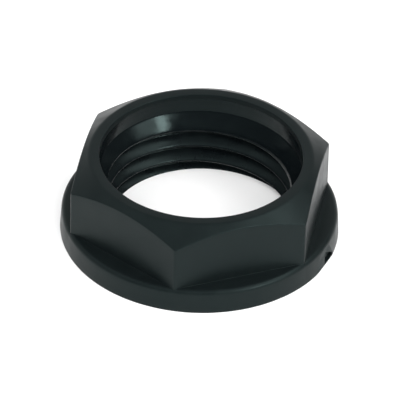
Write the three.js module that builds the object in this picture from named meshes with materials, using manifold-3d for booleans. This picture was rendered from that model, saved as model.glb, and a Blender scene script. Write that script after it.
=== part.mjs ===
// Flanged hexagon locknut of a cable gland, moulded in one piece with an M16 x 1.5 inside thread.
// Millimetres, +Z up. The origin is the centre of the flat bearing face under the flange.
import * as THREE from "three";
import { mergeVertices } from "three/addons/utils/BufferGeometryUtils.js";
import Module from "manifold-3d";

// Hexagon
const acrossFlats = 19;
const nutHeight = 7.2;
const cornerRadius = 0.25;
const cornerSteps = 3;

// Cone that turns the hexagon's corners down to a round ring on top
const topRingRadius = 8.94;
const coneSlope = THREE.MathUtils.degToRad(33.5);

// Round flange at the foot
const flangeRadius = 11.2;
const flangeThickness = 2.05;
const rimDraft = 0.12;
const rimEdgeRadius = 0.4;
const rimEdgeSteps = 4;

// Flat left on the rim where the moulding was cut off its gate, and the pit torn in it by the cut
const gateAngle = THREE.MathUtils.degToRad(-15);
const gateDepth = 0.12;
const pitDepth = 0.3;
const pitOutline = [[0.05, 0.1], [1.5, 0.1], [1.35, 0.5], [0.05, 1.3]];

// Inside, from the top: a plain counterbore, a lead-in cone, then the thread down to the bearing face
const counterboreRadius = 8.12;
const counterboreDepth = 1.64;
const leadInHeight = 1.3;
const crestRadius = 7.22;
const rootRadius = 8.12;
const pitch = 1.5;
const rootWidth = 0.1;
const flankAngle = THREE.MathUtils.degToRad(35.2);

// The thread groove: its height where it crosses the +X axis, and where its upper end starts
const grooveHeight = 2.99;
const grooveTopAngle = THREE.MathUtils.degToRad(300);
const grooveTurns = 4;
const grooveFadeTurns = 0.12;

// How finely round things are faceted
const roundSegments = 72;
// How far cutting shapes reach past the faces they cut
const overcut = 1;

const wasm = await Module();
wasm.setup();

// A manifold solid from a closed three.js geometry
function solid(geometry) {
  const bare = geometry.index ? geometry.toNonIndexed() : geometry.clone();
  bare.deleteAttribute("normal");
  bare.deleteAttribute("uv");
  const merged = mergeVertices(bare);
  return new wasm.Manifold(new wasm.Mesh({
    numProp: 3,
    vertProperties: merged.attributes.position.array,
    triVerts: merged.index.array,
  }));
}

// A body of revolution about Z from [radius, height] points that start and end on the axis
function turned(profile) {
  const points = profile.map(([radius, height]) => new THREE.Vector2(radius, height));
  return solid(new THREE.LatheGeometry(points, roundSegments).rotateX(Math.PI / 2));
}

// The hexagon with rounded corners, two of them on the Y axis, as a full-height prism
function hexagonPrism() {
  const cornerDistance = (acrossFlats / 2 - cornerRadius) / Math.cos(Math.PI / 6);
  const outline = new THREE.Shape();
  for (let corner = 0; corner < 6; corner += 1) {
    const angle = Math.PI / 2 + (corner * Math.PI) / 3;
    const x = cornerDistance * Math.cos(angle);
    const y = cornerDistance * Math.sin(angle);
    outline.absarc(x, y, cornerRadius, angle - Math.PI / 6, angle + Math.PI / 6, false);
  }
  outline.closePath();
  return solid(new THREE.ExtrudeGeometry(outline, {
    depth: nutHeight,
    bevelEnabled: false,
    curveSegments: cornerSteps,
  }));
}

// The envelope that the hexagon is turned to: wide at the foot, coned in to the top ring
function chamferEnvelope() {
  const wide = flangeRadius + overcut;
  const coneFoot = nutHeight - (wide - topRingRadius) * Math.tan(coneSlope);
  return turned([[0, 0], [wide, 0], [wide, coneFoot], [topRingRadius, nutHeight], [0, nutHeight]]);
}

// The flange, drafted a little and rounded along its upper edge
function flangeDisc() {
  const profile = [[0, 0], [flangeRadius, 0]];
  const edgeX = flangeRadius - rimDraft - rimEdgeRadius;
  const edgeZ = flangeThickness - rimEdgeRadius;
  for (let step = 0; step <= rimEdgeSteps; step += 1) {
    const angle = (step / rimEdgeSteps) * (Math.PI / 2);
    profile.push([edgeX + rimEdgeRadius * Math.cos(angle), edgeZ + rimEdgeRadius * Math.sin(angle)]);
  }
  profile.push([0, flangeThickness]);
  return turned(profile);
}

// The block that trims the gate flat off the rim, and a smaller one that sinks the pit into that flat
function gateTrim() {
  const flatDistance = flangeRadius - gateDepth;
  const block = new THREE.BoxGeometry(2 * overcut, flangeRadius, 2 * (flangeThickness + overcut));
  block.translate(flatDistance + overcut, 0, 0);
  const outline = new THREE.Shape(pitOutline.map(([along, height]) => new THREE.Vector2(along, height)));
  const pit = new THREE.ExtrudeGeometry(outline, { depth: pitDepth + overcut, bevelEnabled: false });
  pit.rotateX(Math.PI / 2).rotateZ(Math.PI / 2).translate(flatDistance - pitDepth, 0, 0);
  return solid(block.rotateZ(gateAngle)).add(solid(pit.rotateZ(gateAngle)));
}

// The plain part of the hole: crest-wide all the way, with the lead-in cone and counterbore on top
function plainHole() {
  const coneTop = nutHeight - counterboreDepth;
  return turned([
    [0, -overcut],
    [crestRadius, -overcut],
    [crestRadius, coneTop - leadInHeight],
    [counterboreRadius, coneTop],
    [counterboreRadius, nutHeight + overcut],
    [0, nutHeight + overcut],
  ]);
}

// The right-hand thread groove: its section is extruded straight, then wound down into a helix
function threadGroove() {
  const innerRadius = crestRadius - (rootRadius - crestRadius) / 4;
  const halfRoot = rootWidth / 2;
  const halfMouth = halfRoot + (rootRadius - innerRadius) * Math.tan(flankAngle);
  const section = new THREE.Shape();
  section.moveTo(0, -halfMouth);
  section.lineTo(rootRadius - innerRadius, -halfRoot);
  section.lineTo(rootRadius - innerRadius, halfRoot);
  section.lineTo(0, halfMouth);
  section.closePath();
  const geometry = new THREE.ExtrudeGeometry(section, {
    depth: grooveTurns,
    steps: grooveTurns * roundSegments,
    bevelEnabled: false,
  });
  const topHeight = grooveHeight + (pitch * grooveTopAngle) / (2 * Math.PI);
  const place = geometry.attributes.position;
  for (let index = 0; index < place.count; index += 1) {
    const turn = place.getZ(index);
    const fade = THREE.MathUtils.clamp(turn / grooveFadeTurns, 0.05, 1);
    const radius = innerRadius + place.getX(index) * fade;
    const angle = grooveTopAngle - turn * 2 * Math.PI;
    const height = topHeight - turn * pitch + place.getY(index);
    place.setXYZ(index, radius * Math.cos(angle), radius * Math.sin(angle), height);
  }
  return solid(geometry);
}

const hexagon = hexagonPrism().intersect(chamferEnvelope());
const outside = hexagon.add(flangeDisc()).subtract(gateTrim());
const hole = plainHole().add(threadGroove());
const nut = outside.subtract(hole).getMesh();

const nutGeometry = new THREE.BufferGeometry();
nutGeometry.setAttribute("position", new THREE.BufferAttribute(nut.vertProperties, 3));
nutGeometry.setIndex(new THREE.BufferAttribute(nut.triVerts, 1));
nutGeometry.computeVertexNormals();

const blackNylon = new THREE.MeshStandardMaterial({ color: 0x23282a, roughness: 0.45, metalness: 0 });
const locknut = new THREE.Mesh(nutGeometry, blackNylon);
locknut.name = "locknut";

const group = new THREE.Group();
group.add(locknut);

export default group;
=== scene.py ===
# %% [markdown]
# # A flanged locknut in satin black nylon
#
# The object is the locknut of a cable gland: a hexagon with a round flange at its foot, coned off on
# top, with a thread inside. It is one injection moulding, so it is one piece here too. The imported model
# gives its true size and place, and this script builds the fine surface around that: soft moulded
# edges, a real thread, the trimmed gate, and two mould finishes in the same black nylon.
#
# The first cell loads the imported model. Everything it holds is in metres and stays where it is.

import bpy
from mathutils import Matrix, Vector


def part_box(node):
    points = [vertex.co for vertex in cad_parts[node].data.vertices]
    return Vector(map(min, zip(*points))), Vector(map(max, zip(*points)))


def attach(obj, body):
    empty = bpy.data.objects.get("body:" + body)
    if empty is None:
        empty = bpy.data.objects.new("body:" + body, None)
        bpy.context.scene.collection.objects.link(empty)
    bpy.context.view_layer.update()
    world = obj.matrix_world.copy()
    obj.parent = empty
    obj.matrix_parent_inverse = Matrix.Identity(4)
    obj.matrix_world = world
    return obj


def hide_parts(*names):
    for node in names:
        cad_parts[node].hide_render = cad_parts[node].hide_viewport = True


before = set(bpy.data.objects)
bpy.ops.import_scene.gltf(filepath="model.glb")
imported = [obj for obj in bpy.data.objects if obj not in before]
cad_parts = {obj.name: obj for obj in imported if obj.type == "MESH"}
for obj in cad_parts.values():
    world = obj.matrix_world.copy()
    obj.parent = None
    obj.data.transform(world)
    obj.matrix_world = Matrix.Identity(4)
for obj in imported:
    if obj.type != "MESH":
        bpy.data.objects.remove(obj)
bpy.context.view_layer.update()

# %% Libraries and units
import math

import bmesh
import bpy
from mathutils import Matrix, Quaternion, Vector, noise

MM = 0.001
print("Blender", bpy.app.version_string)

# %% [markdown]
# ## The nut's sizes
#
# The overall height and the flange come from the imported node's box. The other sizes are the nut's own
# drawing: a 19 mm hexagon, an M16 x 1.5 thread, and small edge radii, because a mould never gives a
# knife edge. Each is in millimetres, since that is how such a part is drawn.

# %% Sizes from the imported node
_, node_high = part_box("locknut")
flange_radius = node_high.y / MM
nut_height = node_high.z / MM
print(f"flange {2 * flange_radius:.2f} mm across, nut {nut_height:.2f} mm high")

# %% The rest of the drawing, in millimetres
across_flats = 19.0
corner_radius = 0.25
top_ring_radius = 8.94
cone_slope = math.radians(33.5)

flange_thickness = 2.05
rim_draft = 0.12
rim_edge = 0.4

counterbore_radius = 8.12
counterbore_depth = 1.64
lead_in_height = 1.3
crest_radius = 7.22
root_radius = 8.12
pitch = 1.5
root_width = 0.1
flank_angle = math.radians(35.2)
groove_height = 2.99
groove_top_angle = math.radians(300)
groove_fade_angle = math.radians(45)

gate_angle = math.radians(-15)
gate_depth = 0.12
pit_depth = 0.3
pit_outline = [(0.05, 0.1), (1.5, 0.1), (1.35, 0.5), (0.05, 1.3)]

corner_distance = (across_flats / 2 - corner_radius) / math.cos(math.pi / 6)
widest_wall = corner_distance + corner_radius
print(f"hexagon {across_flats:.1f} mm across flats, {2 * widest_wall:.2f} mm across corners")

# %% [markdown]
# ## How far the hexagon stands from the axis
#
# The nut is almost a body of revolution: only its hexagon changes with the angle. So it can be spun
# from one section, and afterwards each slice of the spin is pushed in to where the hexagon's wall is at
# that angle. A boolean of a prism and a cone would also make the shape, but it leaves broken edges that
# can't be rounded cleanly. This function gives the distance of the wall at any angle, with the small
# radius that the hexagon has on its corners.

# %% The rounded hexagon in polar form
SIXTH = math.pi / 3
FIRST_CORNER = math.pi / 2


def hexagon_wall(angle):
    """Distance from the axis to the hexagon's wall at this angle, in millimetres."""
    from_corner = (angle - FIRST_CORNER + SIXTH / 2) % SIXTH - SIXTH / 2
    reach = corner_radius**2 - (corner_distance * math.sin(from_corner)) ** 2
    if reach > 0:
        on_arc = corner_distance * math.cos(from_corner) + math.sqrt(reach)
        arc_end = math.atan2(corner_radius / 2, corner_distance + corner_radius * math.cos(math.pi / 6))
        if abs(from_corner) <= arc_end:
            return on_arc
    return across_flats / 2 / math.cos(SIXTH / 2 - abs(from_corner))


print(f"wall at a corner {hexagon_wall(FIRST_CORNER):.3f} mm, at a flat {hexagon_wall(0):.3f} mm")

# %% [markdown]
# ## Rounding a section's corners
#
# A section is a row of corner points, each with its own edge radius. This helper swaps each corner for a
# short arc, whichever way it turns, and leaves a few points along the straight stretches. It always
# gives the same number of points for the same corners, which is what lets one section be changed into
# another, point by point.

# %% Arcs in place of sharp corners
def rounded(corners, spans):
    """Points along an outline. corners are (radius, height, edge radius, arc steps); spans are the
    shares, from 0 to 1, at which extra points lie on the straight stretch after each corner."""
    places = [Vector(corner[:2]) for corner in corners]
    ends = []
    for index, (_, _, edge, steps) in enumerate(corners):
        here = places[index]
        if steps == 0:
            ends.append([here])
            continue
        back = (places[index - 1] - here).normalized()
        ahead = (places[index + 1] - here).normalized()
        half = back.angle(ahead) / 2
        centre = here + (back + ahead).normalized() * edge / math.sin(half)
        start = here + back * edge / math.tan(half) - centre
        stop = here + ahead * edge / math.tan(half) - centre
        swing = start.angle_signed(stop)
        arc = []
        for step in range(steps + 1):
            turn = Matrix.Rotation(-swing * step / steps, 2)
            arc.append(centre + turn @ start)
        ends.append(arc)
    points = []
    for index, arc in enumerate(ends):
        points.extend(arc)
        if index + 1 < len(ends):
            after = ends[index + 1][0]
            for share in spans[index]:
                points.append(arc[-1].lerp(after, share))
    return points


square_corner = rounded([(0, 0, 0, 0), (1, 0, 0.2, 4), (1, 1, 0, 0)], [(), ()])
print(f"a square corner rounded in 4 steps has {len(square_corner) - 2} points")

# %% [markdown]
# ## The thread
#
# A nut's thread could be swept on its own as a helix and cut out of the bore. Here the bore's wall is
# instead pushed outwards row by row, because then the thread, the lead-in cone above it and the groove's
# run-out melt into each other with small radii, as they do on the steel pin that moulds them. The
# helper below says how deep the wall is at any height and angle. It is right-handed: the groove climbs
# as the angle grows.

# %% Radius of the inside wall
BLEND = 0.18
FOOT_FLARE = 0.1


def blended_max(first, second):
    """The larger of two lengths, with a small radius where they cross."""
    return (first + second + math.sqrt((first - second) ** 2 + BLEND**2)) / 2


def inside_wall(angle, height):
    """Distance from the axis to the bore's wall below the counterbore, in millimetres."""
    turn = angle % (2 * math.pi)
    rise = (height - groove_height) / pitch - turn / (2 * math.pi)
    groove = round(rise)
    along_helix = turn + 2 * math.pi * groove
    from_centre = abs(rise - groove) * pitch
    fade = min(max((groove_top_angle - along_helix) / groove_fade_angle, 0), 1)
    depth = (root_radius - crest_radius) * fade * fade * (3 - 2 * fade)
    flank = max(from_centre - root_width / 2, 0) / math.tan(flank_angle)
    thread = blended_max(crest_radius + depth - flank, crest_radius)
    cone_foot = nut_height - counterbore_depth - lead_in_height
    lead_in = crest_radius + (counterbore_radius - crest_radius) * (height - cone_foot) / lead_in_height
    flare = max(FOOT_FLARE - height, 0) ** 2 / FOOT_FLARE
    return blended_max(thread, lead_in) + flare


print(f"wall at mid height {inside_wall(0, nut_height / 2):.3f} mm from the axis")

# %% [markdown]
# ## One section of the nut
#
# The section is walked once round: along the bearing face, up the rim, in over the flange, up the
# hexagon's wall, in over the cone and the top ring, down the counterbore and down the thread. The
# hexagon's wall is the only thing that changes with the angle, so it is what the function is given. At
# the corners the hexagon is so wide that its wall stands on the rim's rounded edge. The arc of that edge
# then stops where it meets the wall, and the corner below is placed on the arc's last tangent.

# %% Edge radii and the section itself
rim_foot_edge = 0.1
fillet = 0.05
hexagon_edge = 0.14
ring_edge = 0.5
mouth_edge = 0.06
inner_edge = 0.12

THREAD_ROWS = 132
NEAR = 0.06


def section(wall):
    """Points (radius, height) round the nut's section where the hexagon's wall is this far out."""
    cone_top = nut_height - counterbore_depth
    lead_in_slope = lead_in_height / (counterbore_radius - crest_radius)
    chamfer = nut_height - (wall - top_ring_radius) * math.tan(cone_slope)
    rim = flange_radius - rim_draft
    arc_reach = min(max((wall + fillet - (rim - rim_edge)) / rim_edge, 0), 1)
    arc_angle = math.acos(arc_reach)
    rim_corner = flange_thickness - rim_edge + rim_edge * math.tan(arc_angle / 2)
    arc_top = flange_thickness - rim_edge + rim_edge * math.sin(arc_angle)
    wall_foot = arc_top + (fillet / math.tan(arc_angle) if arc_reach > 0 else 0)
    corners = [
        (crest_radius, 0, 0, 0),
        (flange_radius, 0, rim_foot_edge, 5),
        (rim, rim_corner, rim_edge, 8),
        (wall, wall_foot, fillet / 2, 5),
        (wall, chamfer, hexagon_edge, 5),
        (top_ring_radius, nut_height, ring_edge, 4),
        (counterbore_radius, nut_height, mouth_edge, 6),
        (counterbore_radius, cone_top, inner_edge, 4),
        (counterbore_radius - NEAR, cone_top - NEAR * lead_in_slope, 0, 0),
    ]
    quarters = (0.25, 0.5, 0.75)
    spans = [
        (0.35, 0.6, 0.8),
        quarters,
        (0.5,),
        (0.1, 0.3, 0.5, 0.7, 0.9),
        (0.1, 0.3, 0.5, 0.7, 0.9),
        (0.5,),
        quarters,
        (),
    ]
    return rounded(corners, spans)


corner_section = section(widest_wall)
outer_rows = len(corner_section)
thread_top = corner_section[-1].y
row_height = thread_top / THREAD_ROWS
print(f"{outer_rows} points outside, {THREAD_ROWS} rows of {row_height:.3f} mm inside")

# %% [markdown]
# ## Spinning the blank
#
# bmesh's spin turns the section round the axis in even steps, and use_merge welds the last slice to the
# first. Each point of the section keeps its number in a layer, which the spin copies to every slice, so
# that later steps know which part of the section a vertex belongs to.

# %% Spin one section into a ring
SLICES = 384

bm = bmesh.new()
row_layer = bm.verts.layers.int.new("row")
chain = []
for point in corner_section:
    chain.append(bm.verts.new((point.x, 0, point.y)))
for row in range(1, THREAD_ROWS):
    chain.append(bm.verts.new((crest_radius, 0, thread_top - row * row_height)))
for row, vert in enumerate(chain):
    vert[row_layer] = row
for first, second in zip(chain, chain[1:] + chain[:1]):
    bm.edges.new((first, second))
bmesh.ops.spin(
    bm,
    geom=bm.verts[:] + bm.edges[:],
    cent=(0, 0, 0),
    axis=(0, 0, 1),
    angle=2 * math.pi,
    steps=SLICES,
    use_merge=True,
)
print(f"spun blank: {len(bm.verts)} vertices, {len(bm.faces)} faces")

# %% [markdown]
# ## Shaping the slices
#
# The spin's slices are even, but the hexagon's corners are tight and its flats are plain. Each slice is
# therefore first turned a little towards the nearest corner, so that about ten of them share each corner
# radius. Then its points move to the section that the hexagon has at that angle, and the inside ones to
# the thread's wall.

# %% Crowd the slices at the corners, then shape them
CROWDING = 0.85
crowd = CROWDING / 6
sections = {}

for vert in bm.verts:
    row = vert[row_layer]
    even = math.atan2(vert.co.y, vert.co.x)
    angle = even - crowd * math.sin(6 * (even - FIRST_CORNER))
    slice_number = round(even / (2 * math.pi) * SLICES)
    if slice_number not in sections:
        sections[slice_number] = section(hexagon_wall(angle))
    if row < outer_rows:
        radius, height = sections[slice_number][row]
    else:
        height = thread_top - (row - outer_rows + 1) * row_height
        radius = inside_wall(angle, height)
    if row == 0:
        radius = inside_wall(angle, 0)
    if row == outer_rows - 1:
        radius = inside_wall(angle, height)
    vert.co = (radius * math.cos(angle), radius * math.sin(angle), height)

bmesh.ops.recalc_face_normals(bm, faces=bm.faces)
print(f"shaped nut: volume {bm.calc_volume():.1f} mm3")

# %% [markdown]
# ## Trimming the gate
#
# Plastic enters the mould through a gate on the rim, and the stub is cut off afterwards. The cut leaves
# a narrow flat. A bisecting plane takes the sliver off, and the hole it leaves is filled with one face.
# The knife also tears a small pit out of the stub's root. Four more planes mark it out on the new face,
# then it is divided finely, pushed in and roughened.

# %% Cut the flat on the rim
OUTSIDE, BORE, THREAD, CUT = range(4)
COUNTERBORE_ROWS = 9
ON_PLANE = 0.0001
thread_limit = nut_height - counterbore_depth - lead_in_height

for face in bm.faces:
    face.smooth = True
    rows = [vert[row_layer] or len(chain) for vert in face.verts]
    if min(rows) >= outer_rows and max(vert.co.z for vert in face.verts) < thread_limit:
        face.material_index = THREAD
    elif min(rows) >= outer_rows - COUNTERBORE_ROWS:
        face.material_index = BORE
    else:
        face.material_index = OUTSIDE

gate_out = Vector((math.cos(gate_angle), math.sin(gate_angle), 0))
bmesh.ops.bisect_plane(
    bm,
    geom=bm.verts[:] + bm.edges[:] + bm.faces[:],
    dist=ON_PLANE,
    plane_co=gate_out * (flange_radius - gate_depth),
    plane_no=gate_out,
    clear_outer=True,
)
open_edges = [edge for edge in bm.edges if edge.is_boundary]
filled = bmesh.ops.holes_fill(bm, edges=open_edges, sides=0)["faces"]
for face in filled:
    face.smooth = False
    face.material_index = CUT
    for edge in face.edges:
        edge.smooth = False
print(f"gate flat: {len(filled)} face, {sum(face.calc_area() for face in filled):.2f} mm2")

# %% Tear the pit in the flat
TORN_CUTS = 7
TORN_HEIGHT = 0.12
TORN_SCALE = 4

gate_along = Vector((-math.sin(gate_angle), math.cos(gate_angle), 0))
pit_corners = [gate_along * along + Vector((0, 0, height)) for along, height in pit_outline]
borders = []
for start, end in zip(pit_corners, pit_corners[1:] + pit_corners[:1]):
    borders.append((start, gate_out.cross(end - start).normalized()))
for place, inwards in borders:
    flat = [face for face in bm.faces if face.material_index == CUT]
    around = {vert for face in flat for vert in face.verts}
    around |= {edge for face in flat for edge in face.edges}
    whole = list(around) + flat
    bmesh.ops.bisect_plane(bm, geom=whole, dist=ON_PLANE, plane_co=place, plane_no=inwards)


def in_pit(place):
    """Whether a point of the flat lies inside all the pit's borders."""
    return all((place - start).dot(inwards) > 0 for start, inwards in borders)


pit = [face for face in bm.faces if face.material_index == CUT and in_pit(face.calc_center_median())]
sunk = bmesh.ops.extrude_face_region(bm, geom=pit)["geom"]
pit_floor = [item for item in sunk if isinstance(item, bmesh.types.BMFace)]
bmesh.ops.delete(bm, geom=pit, context="FACES_ONLY")
floor_verts = {vert for face in pit_floor for vert in face.verts}
bmesh.ops.translate(bm, verts=list(floor_verts), vec=-gate_out * pit_depth)
floor_edges = {edge for face in pit_floor for edge in face.edges}
torn = bmesh.ops.subdivide_edges(bm, edges=list(floor_edges), cuts=TORN_CUTS, use_grid_fill=True)
for vert in [item for item in torn["geom_inner"] if isinstance(item, bmesh.types.BMVert)]:
    vert.co += gate_out * TORN_HEIGHT * noise.noise(vert.co * TORN_SCALE)
print(f"pit: {len(pit)} face pushed in, {len(torn['geom_inner'])} parts in its torn floor")

# %% [markdown]
# ## Into the scene
#
# The nut is scaled from millimetres to metres, and becomes a mesh object at the origin. A Weighted
# Normal modifier lets the large faces decide the shading, so that flats look flat right up to their
# rounded edges.

# %% Make the object
bmesh.ops.recalc_face_normals(bm, faces=bm.faces)
bmesh.ops.scale(bm, vec=(MM, MM, MM), verts=bm.verts)
leaky = [edge for edge in bm.edges if not edge.is_manifold]
nut_mesh = bpy.data.meshes.new("flanged_locknut")
bm.to_mesh(nut_mesh)
bm.free()
nut = bpy.data.objects.new("flanged_locknut", nut_mesh)
bpy.context.scene.collection.objects.link(nut)
weighted = nut.modifiers.new("flats stay flat", "WEIGHTED_NORMAL")
weighted.keep_sharp = True
weighted.weight = 50
print(f"{nut.name}: {len(nut_mesh.polygons)} faces, {len(leaky)} open edges")

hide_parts("locknut")
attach(nut, "root")

# %% [markdown]
# ## The nylon
#
# One black nylon, four surfaces. The outside of the mould is spark-eroded to a soft satin. The pin that
# forms the bore is polished on its plain part and a little duller on its thread. The gate was cut with a
# knife. The bore's two finishes also get a darker, bluer black than the outside, which is painted shade
# in the hollow, not a colour of the nylon. All four share the same group of nodes, which makes faint
# mould grain, slow waviness from shrinkage, and small differences in gloss.

# %% A node group for moulded nylon
WAVE_SCALE = 260
PATCH_SCALE = 700
PATCH_LOW = 0.35
PATCH_HIGH = 0.65


def link(tree, source, target):
    tree.links.new(source, target)


def math_node(tree, operation, first, second):
    node = tree.nodes.new("ShaderNodeMath")
    node.operation = operation
    for socket, value in zip(node.inputs, (first, second)):
        if isinstance(value, (int, float)):
            socket.default_value = value
        else:
            link(tree, value, socket)
    return node.outputs[0]


def noise_node(tree, vector, scale, detail):
    node = tree.nodes.new("ShaderNodeTexNoise")
    node.inputs["Detail"].default_value = detail
    link(tree, vector, node.inputs["Vector"])
    if isinstance(scale, (int, float)):
        node.inputs["Scale"].default_value = scale
    else:
        link(tree, scale, node.inputs["Scale"])
    return node.outputs["Fac"]


def moulded_skin_group():
    tree = bpy.data.node_groups.new("moulded_skin", "ShaderNodeTree")
    wanted = [
        ("Grain Scale", "NodeSocketFloat"),
        ("Grain Height", "NodeSocketFloat"),
        ("Wave Height", "NodeSocketFloat"),
        ("Gloss Low", "NodeSocketFloat"),
        ("Gloss High", "NodeSocketFloat"),
        ("Dark", "NodeSocketColor"),
        ("Light", "NodeSocketColor"),
    ]
    for name, kind in wanted:
        tree.interface.new_socket(name, in_out="INPUT", socket_type=kind)
    tree.interface.new_socket("Color", in_out="OUTPUT", socket_type="NodeSocketColor")
    tree.interface.new_socket("Roughness", in_out="OUTPUT", socket_type="NodeSocketFloat")
    tree.interface.new_socket("Height", in_out="OUTPUT", socket_type="NodeSocketFloat")
    inputs = tree.nodes.new("NodeGroupInput").outputs
    outputs = tree.nodes.new("NodeGroupOutput").inputs
    place = tree.nodes.new("ShaderNodeTexCoord").outputs["Object"]
    grain = noise_node(tree, place, inputs["Grain Scale"], 3)
    waves = noise_node(tree, place, WAVE_SCALE, 1)
    patches = noise_node(tree, place, PATCH_SCALE, 4)
    grain_height = math_node(tree, "MULTIPLY", grain, inputs["Grain Height"])
    wave_height = math_node(tree, "MULTIPLY", waves, inputs["Wave Height"])
    link(tree, math_node(tree, "ADD", grain_height, wave_height), outputs["Height"])
    gloss = tree.nodes.new("ShaderNodeMapRange")
    gloss.inputs["From Min"].default_value = PATCH_LOW
    gloss.inputs["From Max"].default_value = PATCH_HIGH
    link(tree, patches, gloss.inputs["Value"])
    link(tree, inputs["Gloss Low"], gloss.inputs["To Min"])
    link(tree, inputs["Gloss High"], gloss.inputs["To Max"])
    link(tree, gloss.outputs["Result"], outputs["Roughness"])
    shade = tree.nodes.new("ShaderNodeMix")
    shade.data_type = "RGBA"
    link(tree, patches, shade.inputs["Factor"])
    link(tree, inputs["Dark"], shade.inputs["A"])
    link(tree, inputs["Light"], shade.inputs["B"])
    link(tree, shade.outputs["Result"], outputs["Color"])
    return tree


moulded_skin = moulded_skin_group()
print("group inputs:", [item.name for item in moulded_skin.interface.items_tree if item.in_out == "INPUT"])

# %% The four finishes
NYLON_IOR = 1.5
COOL_SHEEN = (0.72, 1, 0.97, 1)


def nylon(name, grain_scale, grain_height, wave_height, gloss, dark, light, shine):
    material = bpy.data.materials.new(name)
    material.use_nodes = True
    tree = material.node_tree
    surface = tree.nodes["Principled BSDF"]
    skin = tree.nodes.new("ShaderNodeGroup")
    skin.node_tree = moulded_skin
    skin.inputs["Grain Scale"].default_value = grain_scale
    skin.inputs["Grain Height"].default_value = grain_height
    skin.inputs["Wave Height"].default_value = wave_height
    skin.inputs["Gloss Low"].default_value = gloss[0]
    skin.inputs["Gloss High"].default_value = gloss[1]
    skin.inputs["Dark"].default_value = (*dark, 1)
    skin.inputs["Light"].default_value = (*light, 1)
    bump = tree.nodes.new("ShaderNodeBump")
    bump.inputs["Strength"].default_value = 1
    bump.inputs["Distance"].default_value = 1
    link(tree, skin.outputs["Height"], bump.inputs["Height"])
    link(tree, bump.outputs["Normal"], surface.inputs["Normal"])
    link(tree, skin.outputs["Color"], surface.inputs["Base Color"])
    link(tree, skin.outputs["Roughness"], surface.inputs["Roughness"])
    surface.inputs["Metallic"].default_value = 0
    surface.inputs["IOR"].default_value = NYLON_IOR
    surface.inputs["Specular IOR Level"].default_value = shine
    surface.inputs["Specular Tint"].default_value = COOL_SHEEN
    return material


# The darkest, bluest black is used only in the bore: it is painted shade, not a colour of the nylon.
SHADED_BORE_BLACK = (0.0021, 0.0030, 0.0038)
BLACK = (0.0034, 0.0051, 0.0055)
SOOT = (0.0053, 0.0076, 0.0079)
satin = nylon("satin_nylon", 9000, 0.0000012, 0.000012, (0.34, 0.44), BLACK, SOOT, 0.145)
# The bore's two finishes start from the painted-shade black, so the bore is painted darker than the
# outside.
polished = nylon("polished_shaded_nylon", 2600, 0.000005, 0.000012, (0.14, 0.26), SHADED_BORE_BLACK, BLACK, 0.18)
threaded = nylon("threaded_shaded_nylon", 2600, 0.000005, 0.000012, (0.24, 0.36), SHADED_BORE_BLACK, BLACK, 0.15)
cut = nylon("cut_nylon", 6000, 0.00002, 0.00004, (0.5, 0.7), BLACK, SOOT, 0.25)
for material in (satin, polished, threaded, cut):
    nut_mesh.materials.append(material)
print("finishes:", [material.name for material in nut_mesh.materials])

# %% [markdown]
# ## The viewpoint
#
# A small part seen from close by looks distorted, so the camera stands well back with a long lens. It
# looks down at 37 degrees from a little to the right of a hexagon corner, and leans by under two
# degrees. A turn about its own view axis gives the lean, and two small shifts centre the nut.

# %% Camera
SENSOR_WIDTH = 36
LENS = 503.6
camera_side = math.radians(9.64)
camera_height = math.radians(37.44)
camera_lean = math.radians(1.6)
FLANGES_AWAY = 40
FLANGES_UP = 0.33
camera_distance = FLANGES_AWAY * flange_radius * MM
aim = Vector((0, 0, FLANGES_UP * flange_radius * MM))

towards = Vector((
    math.sin(camera_side) * math.cos(camera_height),
    -math.cos(camera_side) * math.cos(camera_height),
    math.sin(camera_height),
))
camera_data = bpy.data.cameras.new("camera")
camera = bpy.data.objects.new("camera", camera_data)
bpy.context.scene.collection.objects.link(camera)
camera_data.sensor_width = SENSOR_WIDTH
camera_data.lens = LENS
camera_data.clip_start = 0.01
camera_data.clip_end = 20
level = (-towards).to_track_quat("-Z", "Y")
turned = level @ Quaternion((0, 0, 1), camera_lean)
right = turned @ Vector((1, 0, 0))
up = turned @ Vector((0, 1, 0))
lower_by = 0.787 * MM
left_by = 0.015 * MM
camera.rotation_mode = "QUATERNION"
camera.rotation_quaternion = turned
camera.location = aim + towards * camera_distance - up * lower_by - right * left_by
bpy.context.scene.camera = camera
print(f"camera {camera_distance:.3f} m away, lens {camera_data.lens:.0f} mm")

# %% [markdown]
# ## Table and light
#
# Black plastic shows almost nothing but what it reflects, so the light is laid out by what each face
# mirrors. The flats mirror the pale table, and the cone mirrors the tent overhead. Round the table the
# tent is brighter behind the nut than on the camera's side. Below the horizon it repeats what is above,
# so that the underside is lit too when the table is taken away. Two softboxes and a bright strip stand
# on the right, where the polished lead-in cone mirrors them. Two more only fill the shadows, and are
# hidden from reflections.

# %% Table
TABLE_RADIUS = 3
TABLE_SEGMENTS = 96
PAPER_WHITE = (0.9, 0.9, 0.9, 1)
PAPER_ROUGHNESS = 0.9
PAPER_SHINE = 0.1

table_mesh = bpy.data.meshes.new("table")
table_bm = bmesh.new()
bmesh.ops.create_circle(table_bm, cap_ends=True, segments=TABLE_SEGMENTS, radius=TABLE_RADIUS)
table_bm.to_mesh(table_mesh)
table_bm.free()
table = bpy.data.objects.new("table", table_mesh)
bpy.context.scene.collection.objects.link(table)
paper = bpy.data.materials.new("white_paper")
paper.use_nodes = True
sheet = paper.node_tree.nodes["Principled BSDF"]
sheet.inputs["Base Color"].default_value = PAPER_WHITE
sheet.inputs["Roughness"].default_value = PAPER_ROUGHNESS
sheet.inputs["Specular IOR Level"].default_value = PAPER_SHINE
table_mesh.materials.append(paper)
print(f"table {2 * TABLE_RADIUS} m across")

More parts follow.
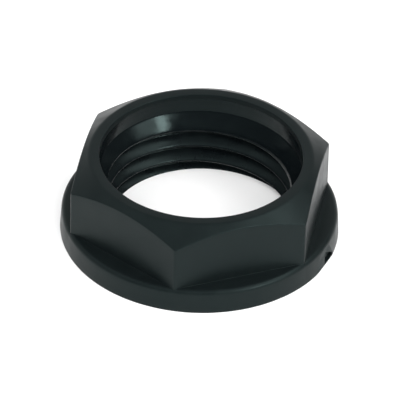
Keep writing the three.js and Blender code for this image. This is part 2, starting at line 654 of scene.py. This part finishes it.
# %% Room light
world = bpy.data.worlds.new("light_tent")
bpy.context.scene.world = world
world.use_nodes = True
sky = world.node_tree
background = sky.nodes["Background"]
direction = sky.nodes.new("ShaderNodeTexCoord").outputs["Generated"]
parts = sky.nodes.new("ShaderNodeSeparateXYZ")
link(sky, direction, parts.inputs[0])
slant = math_node(sky, "ABSOLUTE", parts.outputs["Z"], 0)


def light_by_height(stops):
    """A ramp from the horizon to the zenith. stops are (sine of the elevation, radiance)."""
    ramp = sky.nodes.new("ShaderNodeValToRGB")
    link(sky, slant, ramp.inputs["Fac"])
    while len(ramp.color_ramp.elements) < len(stops):
        ramp.color_ramp.elements.new(0.5)
    for stop, (place, radiance) in zip(ramp.color_ramp.elements, stops):
        stop.position = place
        stop.color = (radiance, radiance, radiance, 1)
    return ramp.outputs["Color"]


BACK_WALL = [(0.0, 0.5), (0.17, 0.9), (0.35, 1.0), (0.6, 0.45), (0.85, 0.4), (1.0, 0.4)]
CAMERA_SIDE = [
    (0.0, 0.15), (0.4, 0.13), (0.6, 0.18), (0.7, 0.9),
    (0.84, 1.4), (0.9, 0.35), (0.96, 0.22), (1.0, 0.4),
]
BACK_BEARING = math.radians(105)
TURN_START = 0.1
TURN_END = 0.9
back_bearing = BACK_BEARING + camera_side
backwards = sky.nodes.new("ShaderNodeVectorMath")
backwards.operation = "DOT_PRODUCT"
link(sky, direction, backwards.inputs[0])
backwards.inputs[1].default_value = (math.cos(back_bearing), math.sin(back_bearing), 0)
turn_to_back = sky.nodes.new("ShaderNodeMapRange")
turn_to_back.interpolation_type = "SMOOTHSTEP"
turn_to_back.inputs["From Min"].default_value = TURN_START
turn_to_back.inputs["From Max"].default_value = TURN_END
link(sky, backwards.outputs["Value"], turn_to_back.inputs["Value"])
tent = sky.nodes.new("ShaderNodeMix")
tent.data_type = "RGBA"
link(sky, turn_to_back.outputs["Result"], tent.inputs["Factor"])
link(sky, light_by_height(CAMERA_SIDE), tent.inputs["A"])
link(sky, light_by_height(BACK_WALL), tent.inputs["B"])
link(sky, tent.outputs["Result"], background.inputs["Color"])
background.inputs["Strength"].default_value = 1
print(f"light tent: {len(BACK_WALL)} stops behind the nut, {len(CAMERA_SIDE)} on the camera's side")


# %% Softboxes
def softbox(name, side, height, distance, width, tall, brightness, seen=True):
    """An area light aimed at the nut. side is its bearing seen from the camera, 0 to the right and -90
    towards the camera; height is its elevation. brightness is its radiance, where the table is about 1."""
    bearing = math.radians(side) + camera_side
    lift = math.radians(height)
    way = Vector((math.cos(bearing) * math.cos(lift), math.sin(bearing) * math.cos(lift), math.sin(lift)))
    data = bpy.data.lights.new(name, "AREA")
    data.shape = "RECTANGLE"
    data.size = width
    data.size_y = tall
    data.energy = brightness * math.pi * width * tall
    lamp = bpy.data.objects.new(name, data)
    lamp.rotation_mode = "QUATERNION"
    lamp.rotation_quaternion = (-way).to_track_quat("-Z", "Y")
    lamp.location = way * distance
    lamp.visible_glossy = seen
    bpy.context.scene.collection.objects.link(lamp)


softbox("right_overhead_softbox", 3, 55, 0.6, 0.3, 0.3, 3.4)
softbox("right_front_softbox", -30, 30, 0.6, 0.4, 0.28, 3.6)
softbox("bright_strip", -43.7, 30, 0.6, 0.11, 0.28, 12)
softbox("table_fill", -90, 42, 1.2, 1.0, 1.0, 4.4, seen=False)
softbox("left_fill", -165, 40, 1.2, 1.0, 1.0, 2.6, seen=False)
bpy.context.scene.view_settings.view_transform = "Standard"
